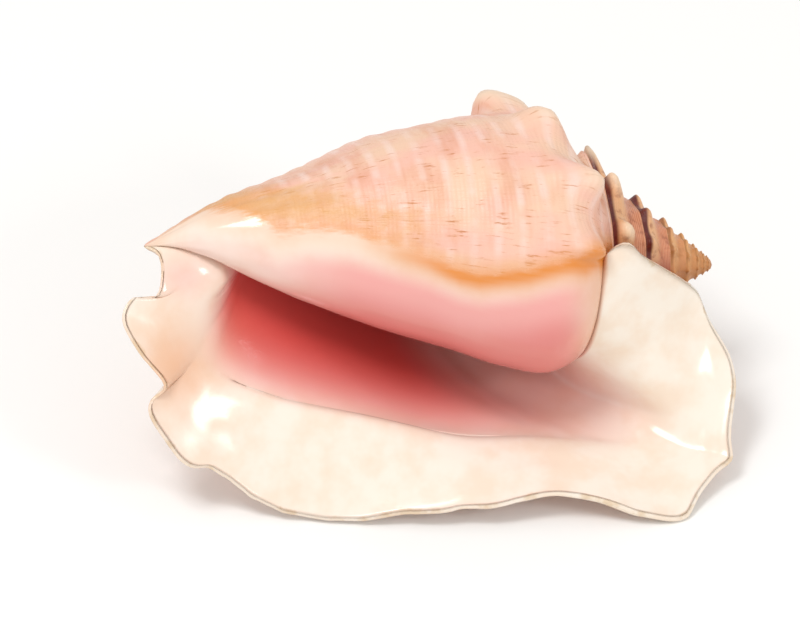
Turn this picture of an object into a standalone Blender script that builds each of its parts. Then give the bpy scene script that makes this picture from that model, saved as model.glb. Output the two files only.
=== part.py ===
"""A large sea conch: a right-handed spiral shell with a knobbed spire,
a swollen last whorl, a real hollow aperture and one broad flaring lip.

The whole shell is one grown piece.  It is drawn as a single closed skin:
the outer side of the whorls, round the rim of the lip, back over the
glossy inside of the lip and down the tube to its blind inner end.

A turn counts whorls along the spiral and rises as the shell grows.  A share
runs across a whorl, from the seam above it (0) to the canal (1).
Lengths are in millimetres in the constants and in metres in the mesh.
"""

import math

import bmesh
import bpy
import numpy as np

MM = 0.001
TINY = 1e-9
SHELL_COLOUR = (0.80, 0.52, 0.38, 1.0)
SHELL_ROUGHNESS = 0.3

# Growth of the spiral
GROWTH = 1.48            # every turn is this many times the turn before
FIRST_TURN = -8.25       # the tip of the spire
FREE_EDGE = 0.25         # the free edge of the lip
BODY_EDGE = -0.75        # the body one turn before the free edge
LIP_START = -0.2         # here the last whorl leaves the spiral
DEEPEST_TURN = -0.6      # the blind end of the tube
APEX_RISE = 0.35

# Cells of the mesh
ROWS_PER_TURN = 40
SUTURE_COLUMNS = 5       # on the part of a whorl that stays in sight
EDGE_COLUMNS = 2         # across the thickness of the lip
INNER_COLUMNS = 24       # from there to the canal

# Whorl outline, from the seam above to the canal: along the axis, radius
KNOT_PLACES = (0.0, 0.04, 0.085, 0.14, 0.22, 0.34, 0.48, 0.66, 0.84, 1.0)
OUTLINE_TURNS = (-1.5, -1.0, -0.75, -0.5, -0.25, 0.0)
OUTLINES = (
    ((41.5, 24.0), (44.0, 28.0), (47.5, 32.0), (52.5, 34.5), (62.0, 36.0),
     (78.0, 33.0), (97.0, 27.0), (118.0, 19.0), (140.0, 11.0), (160.0, 4.0)),
    ((46.5, 28.5), (49.0, 34.5), (54.0, 42.0), (65.0, 48.5), (84.0, 47.5),
     (108.0, 42.0), (135.0, 36.5), (163.0, 28.5), (189.0, 17.0), (207.0, 5.0)),
    ((50.5, 32.5), (54.0, 37.5), (60.0, 44.0), (69.0, 49.5), (87.0, 50.0),
     (112.0, 45.5), (138.0, 38.5), (170.0, 28.0), (204.0, 16.5), (235.0, 0.0)),
    ((53.0, 34.5), (60.0, 39.0), (70.0, 47.0), (84.0, 52.5), (99.0, 53.0),
     (118.0, 49.0), (145.0, 40.5), (175.0, 26.0), (207.0, 15.0), (235.0, 0.0)),
    ((50.0, 35.0), (56.0, 43.0), (70.0, 54.0), (97.0, 60.0), (112.0, 58.5),
     (128.0, 53.0), (152.0, 43.0), (180.0, 28.0), (209.0, 16.0), (235.0, 0.0)),
    ((48.0, 32.5), (50.0, 44.0), (59.0, 58.0), (82.0, 68.0), (108.0, 66.0),
     (134.0, 59.0), (158.0, 47.0), (184.0, 30.0), (210.0, 17.0), (235.0, 0.0)),
)
CANAL_LENGTH = 235.0
BLUNT_TIP = 2.6          # the drawn spiral starts this far from its own centre
BLUNT_REACH = 60.0
BEND_START = 140.0       # from here the canal bends towards the lip
BEND_DEPTH = 11.0

# Share at which the next whorl is attached, and the reach of its fillet
SEAM_TURNS = (-9.0, -2.25, -2.0, -1.75, -1.5, -1.25, -1.0, -0.75)
SEAM_SHARES = (0.216, 0.216, 0.19, 0.168, 0.15, 0.075, 0.025, 0.02)
SEAM_FILLET = 0.05
LIP_SEAM_FILLET = 0.08
WHORLS_BENEATH = 3       # each seam rides on the whorl before it, this deep
# Share at which the inside of that next whorl meets it
CREASE_TURNS = (-1.7, -1.5, -1.25, -1.125, -1.0, -0.875, -0.75)
CREASE_SHARES = (0.28, 0.25, 0.17, 0.125, 0.085, 0.065, 0.054)
# Share of the outer skin at which the inside wall starts
INSIDE_TURNS = (-0.7, -0.5, -0.25, 0.0, 0.125, 0.25)
INSIDE_SHARES = (0.05, 0.05, 0.06, 0.045, 0.02, 0.0)

# Knobs on the shoulder, steep towards the spire and long towards the canal
KNOBS_PER_TURN = 10
KNOB_SHIFT_TURN = -1.3   # from here the knobs move on by half their distance
KNOB_SHIFT_REACH = 0.5
KNOB_SHARE = 0.14
KNOB_TURNS = (-2.5, -1.6, -1.5, -0.75, -0.65, -0.55, -0.45, -0.35, -0.25, -0.15, -0.05)
KNOB_HEIGHTS = (5.0, 8.0, 9.0, 8.0, 10.0, 9.0, 14.0, 10.0, 13.0, 15.0, 8.0)
KNOB_LEANS = (0.2, 0.2, 0.2, 0.3, 0.4, 0.0, -0.45, -0.3, 0.0, 0.0, 0.0)
KNOB_WIDTH = 0.17        # of the distance between two knobs
KNOB_UPPER = 0.026
KNOB_LOWER = 0.038
KNOBS_END = (-0.13, 0.1)                 # where the last knob dies out, and how fast
KNOBS_COVERED = ((-1.46, -0.8, 1.0), (-2.08, -1.78, 1.0), (-3.08, -2.78, 0.6))
COVER_REACH = 0.08

# Free edge of the lip, seen from the front: along the axis, up, forwards
EDGE_OUTLINE = (
    (36.5, 4.8, 36.0), (30.6, 0.8, 32.0), (22.2, -3.4, 24.5),
    (12.6, -7.8, 16.0), (6.8, -11.0, 11.0), (-1.5, -24.4, 7.0),
    (-10.6, -37.7, 8.0), (-13.4, -47.5, 10.0), (-13.0, -57.6, 12.0),
    (-12.3, -69.6, 14.0), (-13.4, -78.4, 16.0), (-8.2, -84.0, 18.0),
    (-1.0, -94.6, 22.0), (2.4, -102.1, 24.0), (22.3, -103.7, 26.0),
    (38.7, -99.7, 25.0), (54.9, -98.2, 22.0), (78.5, -104.1, 18.0),
    (98.0, -107.5, 13.0), (118.0, -110.0, 7.0), (138.0, -114.0, 0.0),
    (158.0, -113.0, -5.0), (170.2, -111.3, -6.0), (182.7, -105.1, -5.0),
    (197.4, -97.4, -2.0), (203.4, -97.5, 0.0), (214.2, -87.5, 3.0),
    (221.8, -72.0, 6.0), (216.6, -66.8, 7.0), (226.8, -54.4, 8.0),
    (235.0, -37.8, 7.0), (231.0, -31.5, 6.0), (221.5, -29.5, 5.0),
    (220.2, -21.7, 4.0), (221.9, -15.1, 3.0),
)
# Crest of the lip: share of the edge's length, then along, forwards, up
CREST_LINE = (
    (0.0, 50.0, 5.0, -34.0), (0.03, 44.0, 4.0, -38.0), (0.06, 38.0, 3.0, -41.0),
    (0.11, 28.0, 1.0, -44.0), (0.15, 22.0, 0.0, -50.0), (0.2, 17.0, 0.0, -60.0),
    (0.27, 20.0, 0.0, -71.0), (0.33, 32.0, 1.0, -78.0), (0.38, 50.0, 0.0, -78.0),
    (0.42, 65.0, 0.0, -78.0), (0.5, 98.0, -1.0, -80.0), (0.6, 138.0, -4.0, -75.0),
    (0.7, 178.0, -7.0, -69.0), (0.78, 201.0, -7.0, -60.0), (0.82, 207.0, -6.0, -53.0),
    (0.86, 211.0, -5.0, -45.0), (0.9, 213.0, -3.0, -36.0), (0.93, 208.0, -2.0, -29.0),
    (0.96, 208.0, -1.0, -22.0), (1.0, 235.0, 0.0, -11.0),
)
# An outline share on the spiral runs to this share of the edge's length
SPIRAL_SHARES = (0.0, 0.05, 0.14, 0.27, 0.75, 0.9, 1.0)
EDGE_SHARES = (0.0, 0.11, 0.27, 0.42, 0.78, 0.93, 1.0)
# How the lip leaves the spiral and crosses its crest
LEAVE_PULL = 2.6
CROSS_SHARES = (0.0, 0.11, 0.22, 1.0)
CROSS_PULLS = (1.6, 1.5, 1.0, 1.0)
CREST_SHARES = (0.0, 0.25, 0.4, 0.75, 0.85, 1.0)
CREST_FLATNESS = (1.0, 1.0, 0.65, 0.65, 1.0, 1.0)
WING_CURL = (-10.0, 0.0, 105.0)          # the wing curls up against the spire
WING_SHARE = 0.05
WING_REACH = 0.15

WALL = 4.0
EDGE_THICKNESS = 3.0
CANAL_THICKNESS = 1.6
CANAL_WALL_SHARE = 0.72
RIM_ROUNDNESS = 0.4

# How the shell is seen from the front: the axis dips to the right, runs away
AXIS_DIP = math.radians(4.5)
AXIS_TURN = math.radians(13.0)
# How it rests, on the lip's edge and on one knob of its back
REST_TILT = math.radians(40.1)
REST_ROLL = math.radians(1.2)


def cell_curve(start, end, leave, arrive, x):
    """Smooth curve across one cell, from its ends and its slopes there."""
    return (
        start * (2 * x**3 - 3 * x**2 + 1) + leave * (x**3 - 2 * x**2 + x)
        + end * (3 * x**2 - 2 * x**3) + arrive * (x**3 - x**2)
    )


def slopes_at(values, step):
    """Slopes at the knots of a curve, the knots along the second last axis."""
    chord = np.diff(values, axis=-2) / step[:, None]
    before = step[:-1, None]
    after = step[1:, None]
    inner = chord[..., :-1, :] * after + chord[..., 1:, :] * before
    return np.concatenate(
        [chord[..., :1, :], inner / (before + after), chord[..., -1:, :]], axis=-2)


def smooth_curve(places, values, at):
    """Smooth curve through rows of values, at rising places."""
    places = np.asarray(places, float)
    values = np.asarray(values, float)
    at = np.asarray(at, float)
    step = np.diff(places)
    slope = slopes_at(values, step)
    cell = np.clip(np.searchsorted(places, at, side="right") - 1, 0, len(step) - 1)
    width = step[cell][..., None]
    x = (at - places[cell])[..., None] / width
    return cell_curve(values[cell], values[cell + 1], slope[cell] * width,
                      slope[cell + 1] * width, x)


def smooth_value(places, values, at):
    """Smooth curve through single numbers, constant beyond its ends."""
    at = np.clip(at, places[0], places[-1])
    return smooth_curve(places, np.asarray(values, float)[:, None], at)[..., 0]


def fade(x):
    """Smooth step from 0 to 1."""
    x = np.clip(x, 0.0, 1.0)
    return x * x * (3.0 - 2.0 * x)


def unit(vectors):
    """Vectors made one long."""
    return vectors / (np.linalg.norm(vectors, axis=-1, keepdims=True) + 1e-12)


def spread(turn, share):
    """Both as arrays of one shape."""
    return np.broadcast_arrays(np.asarray(turn, float), np.asarray(share, float))


def seam_share(turn):
    """Share of the outline where the next whorl starts."""
    return smooth_value(SEAM_TURNS, SEAM_SHARES, turn)


def crease_share(turn):
    """Share of the outline where the inside of the next whorl meets it."""
    return smooth_value(CREASE_TURNS, CREASE_SHARES, turn)


def whorl_outline(turn, share):
    """Along the axis and radius of the plain whorl, without knobs."""
    turn, share = spread(turn, share)
    shape = turn.shape
    turn = turn.ravel()
    share = share.ravel()
    first = OUTLINE_TURNS[0]
    table = np.array(OUTLINES).reshape(len(OUTLINES), -1)
    knots = smooth_curve(OUTLINE_TURNS, table, np.maximum(turn, first))
    knots = knots.reshape(-1, len(KNOT_PLACES), 2)
    knots[turn >= BODY_EDGE - TINY, -1] = (CANAL_LENGTH, 0.0)
    places = np.array(KNOT_PLACES)
    step = np.diff(places)
    slope = slopes_at(knots, step)
    cell = np.clip(np.searchsorted(places, share, side="right") - 1, 0, len(step) - 1)
    row = np.arange(len(turn))
    width = step[cell][:, None]
    x = (share - places[cell])[:, None] / width
    point = cell_curve(knots[row, cell], knots[row, cell + 1], slope[row, cell] * width,
                       slope[row, cell + 1] * width, x)
    scale = GROWTH ** np.minimum(turn - first, 0.0)
    return (point * scale[:, None]).reshape(shape + (2,))


def knob_height(turn, share):
    """Height of the knobs over the plain whorl."""
    shift = 0.5 * fade((turn - KNOB_SHIFT_TURN) / KNOB_SHIFT_REACH)
    count = turn * KNOBS_PER_TURN + shift
    off = np.abs(count - np.round(count))
    ridge = np.exp(-0.5 * (off / KNOB_WIDTH) ** 2)
    reach = np.where(share < KNOB_SHARE, KNOB_UPPER, KNOB_LOWER)
    across = np.exp(-0.5 * ((share - KNOB_SHARE) / reach) ** 2)
    early = np.minimum(turn - KNOB_TURNS[0], 0.0)
    height = smooth_value(KNOB_TURNS, KNOB_HEIGHTS, turn) * GROWTH**early
    for start, stop, depth in KNOBS_COVERED:
        inside = fade((turn - start) / COVER_REACH) * (1.0 - fade((turn - stop) / COVER_REACH))
        height = height * (1.0 - depth * inside)
    hidden = fade((share - seam_share(turn)) / 0.03) * (turn < BODY_EDGE)
    ending = fade((turn - KNOBS_END[0]) / KNOBS_END[1])
    return height * ridge * across * (1.0 - hidden) * (1.0 - ending)


def whorl(turn, share, knobs=True, depth=0):
    """Along the axis and radius of the outer skin of a whorl."""
    turn, share = spread(turn, share)
    point = whorl_outline(turn, share)
    if knobs:
        small = 0.002
        run = whorl_outline(turn, np.minimum(share + small, 1.0))
        run = run - whorl_outline(turn, np.maximum(share - small, 0.0))
        normal = unit(np.stack([-run[..., 1], run[..., 0]], axis=-1))
        normal[..., 0] -= smooth_value(KNOB_TURNS, KNOB_LEANS, turn)
        point = point + unit(normal) * knob_height(turn, share)[..., None]
    if depth < WHORLS_BENEATH:
        before = turn - 1.0
        seam = whorl(before, seam_share(before), True, depth + 1)
        start = whorl_outline(turn, np.zeros(turn.shape))
        pull = 1.0 - fade(share / SEAM_FILLET)
        point = point + (seam - start) * pull[..., None]
    return point


def place(along, radius, turn):
    """Point in the shell's own frame: along, forwards, up."""
    angle = 2.0 * math.pi * (turn - BODY_EDGE)
    along = along - BLUNT_TIP * (1.0 - fade(along / BLUNT_REACH))
    bend = np.maximum(along - BEND_START, 0.0) / (CANAL_LENGTH - BEND_START)
    up = radius * np.sin(angle) - BEND_DEPTH * bend**2
    return np.stack([along, radius * np.cos(angle), up], axis=-1)


def spiral_skin(turn, share, knobs=True):
    """Outer skin of the coiled part."""
    turn, share = spread(turn, share)
    outline = whorl(turn, share, knobs)
    return place(outline[..., 0], outline[..., 1], turn)


def edge_curve():
    """Free edge of the lip as points and their shares of its length."""
    body = np.array([BODY_EDGE])
    start = spiral_skin(body, seam_share(body))
    tip = place(np.array([CANAL_LENGTH]), np.zeros(1), body)
    seen = np.array(EDGE_OUTLINE)
    along = (seen[:, 0] + seen[:, 2] * math.sin(AXIS_TURN)) / math.cos(AXIS_TURN)
    middle = np.stack([along, seen[:, 2], seen[:, 1]], axis=-1)
    points = np.vstack([start, middle, tip])
    length = np.cumsum(np.linalg.norm(np.diff(points, axis=0), axis=1))
    length = np.concatenate([[0.0], length])
    return points, length / length[-1]


EDGE_POINTS, EDGE_LENGTHS = edge_curve()


def lip_skin(turn, share):
    """Outer skin of the flaring lip, from the last whorl to the free edge."""
    turn, share = spread(turn, share)
    small = 0.004
    root = spiral_skin(LIP_START, share, False)
    leave = unit(root - spiral_skin(LIP_START - small, share, False))
    at = np.interp(share, SPIRAL_SHARES, EDGE_SHARES)
    edge = smooth_curve(EDGE_LENGTHS, EDGE_POINTS, at)
    line = np.array(CREST_LINE)
    crest = smooth_curve(line[:, 0], line[:, 1:], at)
    reach = np.linalg.norm(crest - root, axis=-1, keepdims=True)
    cross = (edge - root) * smooth_value(CROSS_SHARES, CROSS_PULLS, at)[..., None]
    cross[..., 2] *= smooth_value(CREST_SHARES, CREST_FLATNESS, at)
    arrive = 2.0 * (edge - crest)
    wing = (1.0 - fade((at - WING_SHARE) / WING_REACH))[..., None]
    arrive = arrive + wing * (np.array(WING_CURL) - arrive)
    t = ((turn - LIP_START) / (FREE_EDGE - LIP_START))[..., None]
    first = cell_curve(root, crest, leave * reach * LEAVE_PULL / 2, cross / 2, 2.0 * t)
    second = cell_curve(crest, edge, cross / 2, arrive / 2, 2.0 * t - 1.0)
    return np.where(t < 0.5, first, second)


def skin_normal(surface, turn, share):
    """Direction square to a surface, away from the hollow."""
    small = 1e-3
    across = surface(turn, np.minimum(share + small, 1.0))
    across = across - surface(turn, np.maximum(share - small, 0.0))
    grow = surface(np.minimum(turn + small, FREE_EDGE), share)
    grow = grow - surface(turn - small, share)
    return unit(np.cross(grow, across))


def skin(turn, share, knobs=True):
    """Outer skin everywhere, from the tip of the spire to the free edge."""
    turn, share = spread(turn, share)
    coiled = spiral_skin(np.minimum(turn, LIP_START), share, knobs)
    on_lip = np.maximum(turn, LIP_START)
    lip = lip_skin(on_lip, share)
    before = turn - 1.0
    seam = spiral_skin(before, seam_share(before))
    pull = (1.0 - fade(share / LIP_SEAM_FILLET))[..., None]
    lip = lip + (seam - lip_skin(on_lip, np.zeros(turn.shape))) * pull
    if knobs:
        lip = lip + skin_normal(lip_skin, on_lip, share) * knob_height(turn, share)[..., None]
    return np.where((turn > LIP_START)[..., None], lip, coiled)


def plain_skin(turn, share):
    """The outer skin without its knobs."""
    return skin(turn, share, False)


def inner_skin(turn, share, start):
    """Inside wall of the tube and the lip on one row, begun at a point."""
    late = max(0.0, (turn - LIP_START) / (FREE_EDGE - LIP_START))
    skip = smooth_value(INSIDE_TURNS, INSIDE_SHARES, turn)
    turns = np.full(share.shape, turn)
    on_skin = skip + (1.0 - skip) * share
    thick = WALL + (EDGE_THICKNESS - WALL) * fade(late)
    canal = fade((share - CANAL_WALL_SHARE) / 0.1) * fade(late * 1.5 - 0.5)
    thick = thick + (CANAL_THICKNESS - thick) * canal
    thick = thick * fade((1.0 - share) / 0.12)
    row = plain_skin(turns, on_skin)
    row = row - skin_normal(plain_skin, turns, on_skin) * thick[:, None]
    pull = 1.0 - fade(share / 0.07)
    row = row + (start - row[0]) * pull[:, None]
    # near the canal the wall closes on the column of the whorl before
    reach = 0.6 + 0.35 * late
    column = spiral_skin(turn - 1.0, share, False)
    pull = fade((share - reach) / (1.0 - reach))
    return row + (column - row) * pull[:, None]


def column_shares(turn):
    """Outline shares of the mesh columns on one row."""
    if turn <= BODY_EDGE + TINY:
        seam = float(seam_share(turn))
        crease = float(crease_share(turn))
        peak = min(KNOB_SHARE, 0.9 * seam)
    else:
        grow = min((turn - BODY_EDGE) / 0.09, 1.0)
        seam = SEAM_SHARES[-1] + (KNOB_SHARE - SEAM_SHARES[-1]) * grow
        crease = seam + CREASE_SHARES[-1] - SEAM_SHARES[-1]
        peak = 0.6 * seam
    upper = np.array([0.0, peak / 3, peak * 2 / 3, peak, (peak + seam) / 2, seam])
    band = np.linspace(seam, crease, EDGE_COLUMNS + 1)[1:]
    lower = np.linspace(0.0, 1.0, INNER_COLUMNS + 1)[1:]
    lower = crease + (1.0 - crease) * (0.45 * lower**1.6 + 0.55 * lower)
    plain = np.concatenate([upper, band, lower])
    even = np.linspace(0.0, 1.0, len(plain))
    edge = np.interp(even, EDGE_SHARES, SPIRAL_SHARES)
    blend = fade((turn - LIP_START + 0.15) / (FREE_EDGE - LIP_START + 0.15))
    return plain * (1.0 - blend) + edge * blend


class Net:
    """The closed skin: its points, shared by key, and its faces."""

    def __init__(self):
        self.points = []
        self.faces = []
        self.known = {}

    def point(self, key, place_of):
        """Number of the point with this key, added at its first use."""
        if key not in self.known:
            self.known[key] = len(self.points)
            self.points.append(tuple(place_of))
        return self.known[key]

    def face(self, corners):
        """One face, without the corners that fall together."""
        ring = list(dict.fromkeys(corners))
        if len(ring) > 2:
            self.faces.append(ring)

    def patch(self, corner, rows, columns):
        """A field of four-sided faces between points given by row and column."""
        for i in range(rows[0], rows[1]):
            for j in range(columns[0], columns[1]):
                self.face([corner(i, j), corner(i + 1, j), corner(i + 1, j + 1), corner(i, j + 1)])


def build_net():
    """The whole shell in its own frame, as one closed skin."""
    rows = round((FREE_EDGE - FIRST_TURN) * ROWS_PER_TURN)
    turn_of = FIRST_TURN + np.arange(rows + 1) / ROWS_PER_TURN
    body = rows - ROWS_PER_TURN
    deep = round((DEEPEST_TURN - FIRST_TURN) * ROWS_PER_TURN)
    crease = SUTURE_COLUMNS + EDGE_COLUMNS
    last = crease + INNER_COLUMNS
    shares = np.array([column_shares(t) for t in turn_of])
    outer = skin(turn_of[:, None], shares)
    inner = np.zeros_like(outer)
    for i in range(deep, rows + 1):
        inner[i] = inner_skin(turn_of[i], shares[i], outer[i - ROWS_PER_TURN, crease])
    outward = unit(outer[rows] - outer[rows - 1])
    net = Net()
    tip = net.point("canal", outer[body, last])

    def outer_point(i, j):
        if j == last and i >= body:
            return tip
        if j == SUTURE_COLUMNS and i <= body:
            return outer_point(i + ROWS_PER_TURN, 0)
        return net.point(("outer", i, j), outer[i, j])

    def column_point(i, j):
        if i == body:
            return outer_point(i, j)
        return net.point(("column", i, j), outer[i, j])

    def inner_point(i, j):
        if j == 0:
            return column_point(i - ROWS_PER_TURN, crease)
        if j == last:
            return column_point(i - ROWS_PER_TURN, last)
        return net.point(("inner", i, j), inner[i, j])

    def rim_point(m, j):
        if j == 0:
            return outer_point(body, SUTURE_COLUMNS + m)
        if j == last:
            return tip
        if m == 0:
            return outer_point(rows, j)
        if m == EDGE_COLUMNS:
            return inner_point(rows, j)
        x = m / EDGE_COLUMNS
        bulge = math.sin(math.pi * x) * RIM_ROUNDNESS * EDGE_THICKNESS
        point = outer[rows, j] * (1 - x) + inner[rows, j] * x + outward[j] * bulge
        return net.point(("rim", m, j), point)

    net.patch(outer_point, (0, body), (0, SUTURE_COLUMNS))
    net.patch(outer_point, (body, rows), (0, last))
    net.patch(column_point, (deep - ROWS_PER_TURN, body), (crease, last))
    net.patch(inner_point, (deep, rows), (0, last))
    net.patch(rim_point, (0, EDGE_COLUMNS), (0, last))

    # Blind end of the tube, between the inside wall and the column
    left = [inner_point(deep, j) for j in range(last + 1)]
    right = [column_point(deep - ROWS_PER_TURN, j) for j in range(crease, last + 1)]
    a = 0
    b = 0
    while a < last or b < INNER_COLUMNS:
        if a < last and (b == INNER_COLUMNS or (a + 1) * INNER_COLUMNS <= (b + 1) * last):
            net.face([left[a], left[a + 1], right[b]])
            a += 1
        else:
            net.face([left[a], right[b + 1], right[b]])
            b += 1

    # Blunt tip of the spire
    apex = net.point("apex", (outer[0, 0][0] - APEX_RISE, 0.0, 0.0))
    ring = [outer_point(i, 0) for i in range(ROWS_PER_TURN + 1)]
    ring += [outer_point(0, j) for j in range(SUTURE_COLUMNS - 1, 0, -1)]
    for k in range(len(ring)):
        net.face([ring[k], ring[(k + 1) % len(ring)], apex])
    return np.array(net.points), net.faces


def seen_from_front(points):
    """From the shell's own frame to right, away and up, as seen from the front."""
    dip = AXIS_DIP
    turn = AXIS_TURN
    along = (-math.cos(turn) * math.cos(dip), -math.sin(turn), math.cos(turn) * math.sin(dip))
    forwards = (math.sin(turn) * math.cos(dip), -math.cos(turn), -math.sin(turn) * math.sin(dip))
    up = (math.sin(dip), 0.0, math.cos(dip))
    return points @ np.array([along, forwards, up])


def laid_down(points):
    """From the front view to the shell at rest on a level surface."""
    roll = np.array([
        (math.cos(REST_ROLL), 0.0, math.sin(REST_ROLL)),
        (0.0, 1.0, 0.0),
        (-math.sin(REST_ROLL), 0.0, math.cos(REST_ROLL)),
    ])
    tilt = np.array([
        (1.0, 0.0, 0.0),
        (0.0, math.cos(REST_TILT), -math.sin(REST_TILT)),
        (0.0, math.sin(REST_TILT), math.cos(REST_TILT)),
    ])
    points = points @ roll @ tilt
    low = points.min(axis=0)
    high = points.max(axis=0)
    middle = (low + high) / 2
    return points - np.array([middle[0], middle[1], low[2]])


def main():
    for item in list(bpy.data.objects):
        bpy.data.objects.remove(item, do_unlink=True)
    points, faces = build_net()
    points = laid_down(seen_from_front(points)) * MM
    mesh = bpy.data.meshes.new("conch_shell")
    mesh.from_pydata([tuple(p) for p in points], [], faces)
    mesh.validate()
    skin_faces = bmesh.new()
    skin_faces.from_mesh(mesh)
    bmesh.ops.recalc_face_normals(skin_faces, faces=skin_faces.faces)
    skin_faces.to_mesh(mesh)
    skin_faces.free()
    for polygon in mesh.polygons:
        polygon.use_smooth = True
    shell = bpy.data.objects.new("conch_shell", mesh)
    bpy.context.collection.objects.link(shell)
    material = bpy.data.materials.new("shell")
    material.use_nodes = True
    shader = material.node_tree.nodes["Principled BSDF"]
    shader.inputs["Base Color"].default_value = SHELL_COLOUR
    shader.inputs["Roughness"].default_value = SHELL_ROUGHNESS
    shader.inputs["Metallic"].default_value = 0.0
    mesh.materials.append(material)


main()
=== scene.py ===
# %% [markdown]
# # A large sea conch
#
# This lesson dresses a shell whose solid was made and measured beforehand.
# The solid has the true form in coarse cells. Here the same growth rules are
# run again with finer cells, and the fine skin gets what the eye sees: growth
# lines, spiral cords, a chipped edge, and the colours of each layer of shell.
#
# A mollusc builds its shell at the rim only. Everything on the surface was
# once the edge, so two numbers place any mark on it: the turn at which it was
# laid down, and its share of the way across the whorl. Both are kept as mesh
# attributes, and the materials draw with them.

import math

import bpy
import numpy as np
from mathutils import Matrix, Vector


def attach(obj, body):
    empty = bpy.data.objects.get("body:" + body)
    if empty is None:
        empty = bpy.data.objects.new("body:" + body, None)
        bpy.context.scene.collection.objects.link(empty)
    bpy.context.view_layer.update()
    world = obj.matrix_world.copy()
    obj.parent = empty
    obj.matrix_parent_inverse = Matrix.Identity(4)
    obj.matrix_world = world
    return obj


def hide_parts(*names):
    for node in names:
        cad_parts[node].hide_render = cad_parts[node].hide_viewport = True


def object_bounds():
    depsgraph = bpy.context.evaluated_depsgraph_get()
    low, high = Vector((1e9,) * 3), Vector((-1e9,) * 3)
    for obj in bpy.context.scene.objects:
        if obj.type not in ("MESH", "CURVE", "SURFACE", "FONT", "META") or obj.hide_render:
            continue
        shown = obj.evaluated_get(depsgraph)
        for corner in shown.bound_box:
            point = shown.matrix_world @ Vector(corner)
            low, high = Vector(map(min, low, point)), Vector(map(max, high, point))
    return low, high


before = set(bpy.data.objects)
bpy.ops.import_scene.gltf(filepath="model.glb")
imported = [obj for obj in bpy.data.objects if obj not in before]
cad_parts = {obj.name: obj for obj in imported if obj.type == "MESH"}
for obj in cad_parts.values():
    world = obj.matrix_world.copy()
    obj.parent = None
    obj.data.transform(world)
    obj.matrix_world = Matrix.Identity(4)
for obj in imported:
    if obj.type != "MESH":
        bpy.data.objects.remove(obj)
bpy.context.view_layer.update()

# %% [markdown]
# ## The growth rules
#
# On the real shell each whorl is a copy of the whorl before, larger by one
# fixed factor. Such a spiral could be made with the Screw modifier, but that
# repeats one fixed outline. The outline of this shell changes as it grows up,
# so it is a table of outlines at a few turns, with smooth curves between.
# Lengths in the tables are millimetres.

# %%
# Driving dimensions of the spiral
TINY = 1e-9
# How the shell is seen from the front: the axis dips to the right, runs away
AXIS_DIP = math.radians(4.5)
AXIS_TURN = math.radians(13.0)

# Growth of the spiral
GROWTH = 1.48            # every turn is this many times the turn before
FIRST_TURN = -8.25       # the tip of the spire
FREE_EDGE = 0.25         # the free edge of the lip
BODY_EDGE = -0.75        # the body one turn before the free edge
LIP_START = -0.2         # here the last whorl leaves the spiral
DEEPEST_TURN = -0.6      # the blind end of the tube
APEX_RISE = 0.35

# Whorl outline, from the seam above to the canal: along the axis, radius
KNOT_PLACES = (0.0, 0.04, 0.085, 0.14, 0.22, 0.34, 0.48, 0.66, 0.84, 1.0)
OUTLINE_TURNS = (-1.5, -1.0, -0.75, -0.5, -0.25, 0.0)
OUTLINES = (
    ((37.5, 22.4), (42.0, 25.5), (47.5, 30.0), (53.5, 33.0), (62.0, 34.5),
     (78.0, 33.0), (97.0, 27.0), (118.0, 19.0), (140.0, 11.0), (160.0, 4.0)),
    ((46.0, 28.0), (49.0, 34.0), (54.0, 42.0), (65.0, 48.5), (84.0, 47.5),
     (108.0, 42.0), (135.0, 36.5), (163.0, 28.5), (189.0, 17.0), (207.0, 5.0)),
    ((49.0, 30.5), (53.5, 36.0), (59.0, 43.0), (69.0, 49.5), (87.0, 50.0),
     (112.0, 45.5), (138.0, 38.5), (170.0, 28.0), (204.0, 16.5), (235.0, 0.0)),
    ((53.0, 33.5), (60.0, 38.5), (70.0, 47.0), (84.0, 52.5), (99.0, 53.0),
     (118.0, 49.0), (145.0, 40.5), (175.0, 26.0), (207.0, 15.0), (235.0, 0.0)),
    ((50.0, 35.0), (56.0, 43.0), (70.0, 54.0), (97.0, 60.0), (112.0, 58.5),
     (128.0, 53.0), (152.0, 43.0), (180.0, 28.0), (209.0, 16.0), (235.0, 0.0)),
    ((48.0, 32.5), (50.0, 44.0), (59.0, 58.0), (82.0, 68.0), (108.0, 66.0),
     (134.0, 59.0), (158.0, 47.0), (184.0, 30.0), (210.0, 17.0), (235.0, 0.0)),
)
CANAL_LENGTH = 235.0
BLUNT_TIP = 2.6          # the drawn spiral starts this far from its own centre
BLUNT_REACH = 60.0
BEND_START = 140.0       # from here the canal bends towards the lip
BEND_DEPTH = 11.0

# Share at which the next whorl is attached, and the reach of its fillet
SEAM_TURNS = (-9.0, -2.25, -2.0, -1.75, -1.5, -1.25, -1.0, -0.75)
SEAM_SHARES = (0.162, 0.162, 0.165, 0.15, 0.14, 0.075, 0.025, 0.02)
SEAM_FILLET = 0.05
LIP_SEAM_FILLET = 0.08
WHORLS_BENEATH = 3       # each seam rides on the whorl before it, this deep
# Share at which the inside of that next whorl meets it
CREASE_TURNS = (-1.7, -1.5, -1.25, -1.125, -1.0, -0.875, -0.75)
CREASE_SHARES = (0.28, 0.25, 0.17, 0.125, 0.085, 0.065, 0.054)
# Share of the outer skin at which the inside wall starts
INSIDE_TURNS = (-0.7, -0.5, -0.25, 0.0, 0.125, 0.25)
INSIDE_SHARES = (0.05, 0.05, 0.06, 0.045, 0.02, 0.0)

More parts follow.
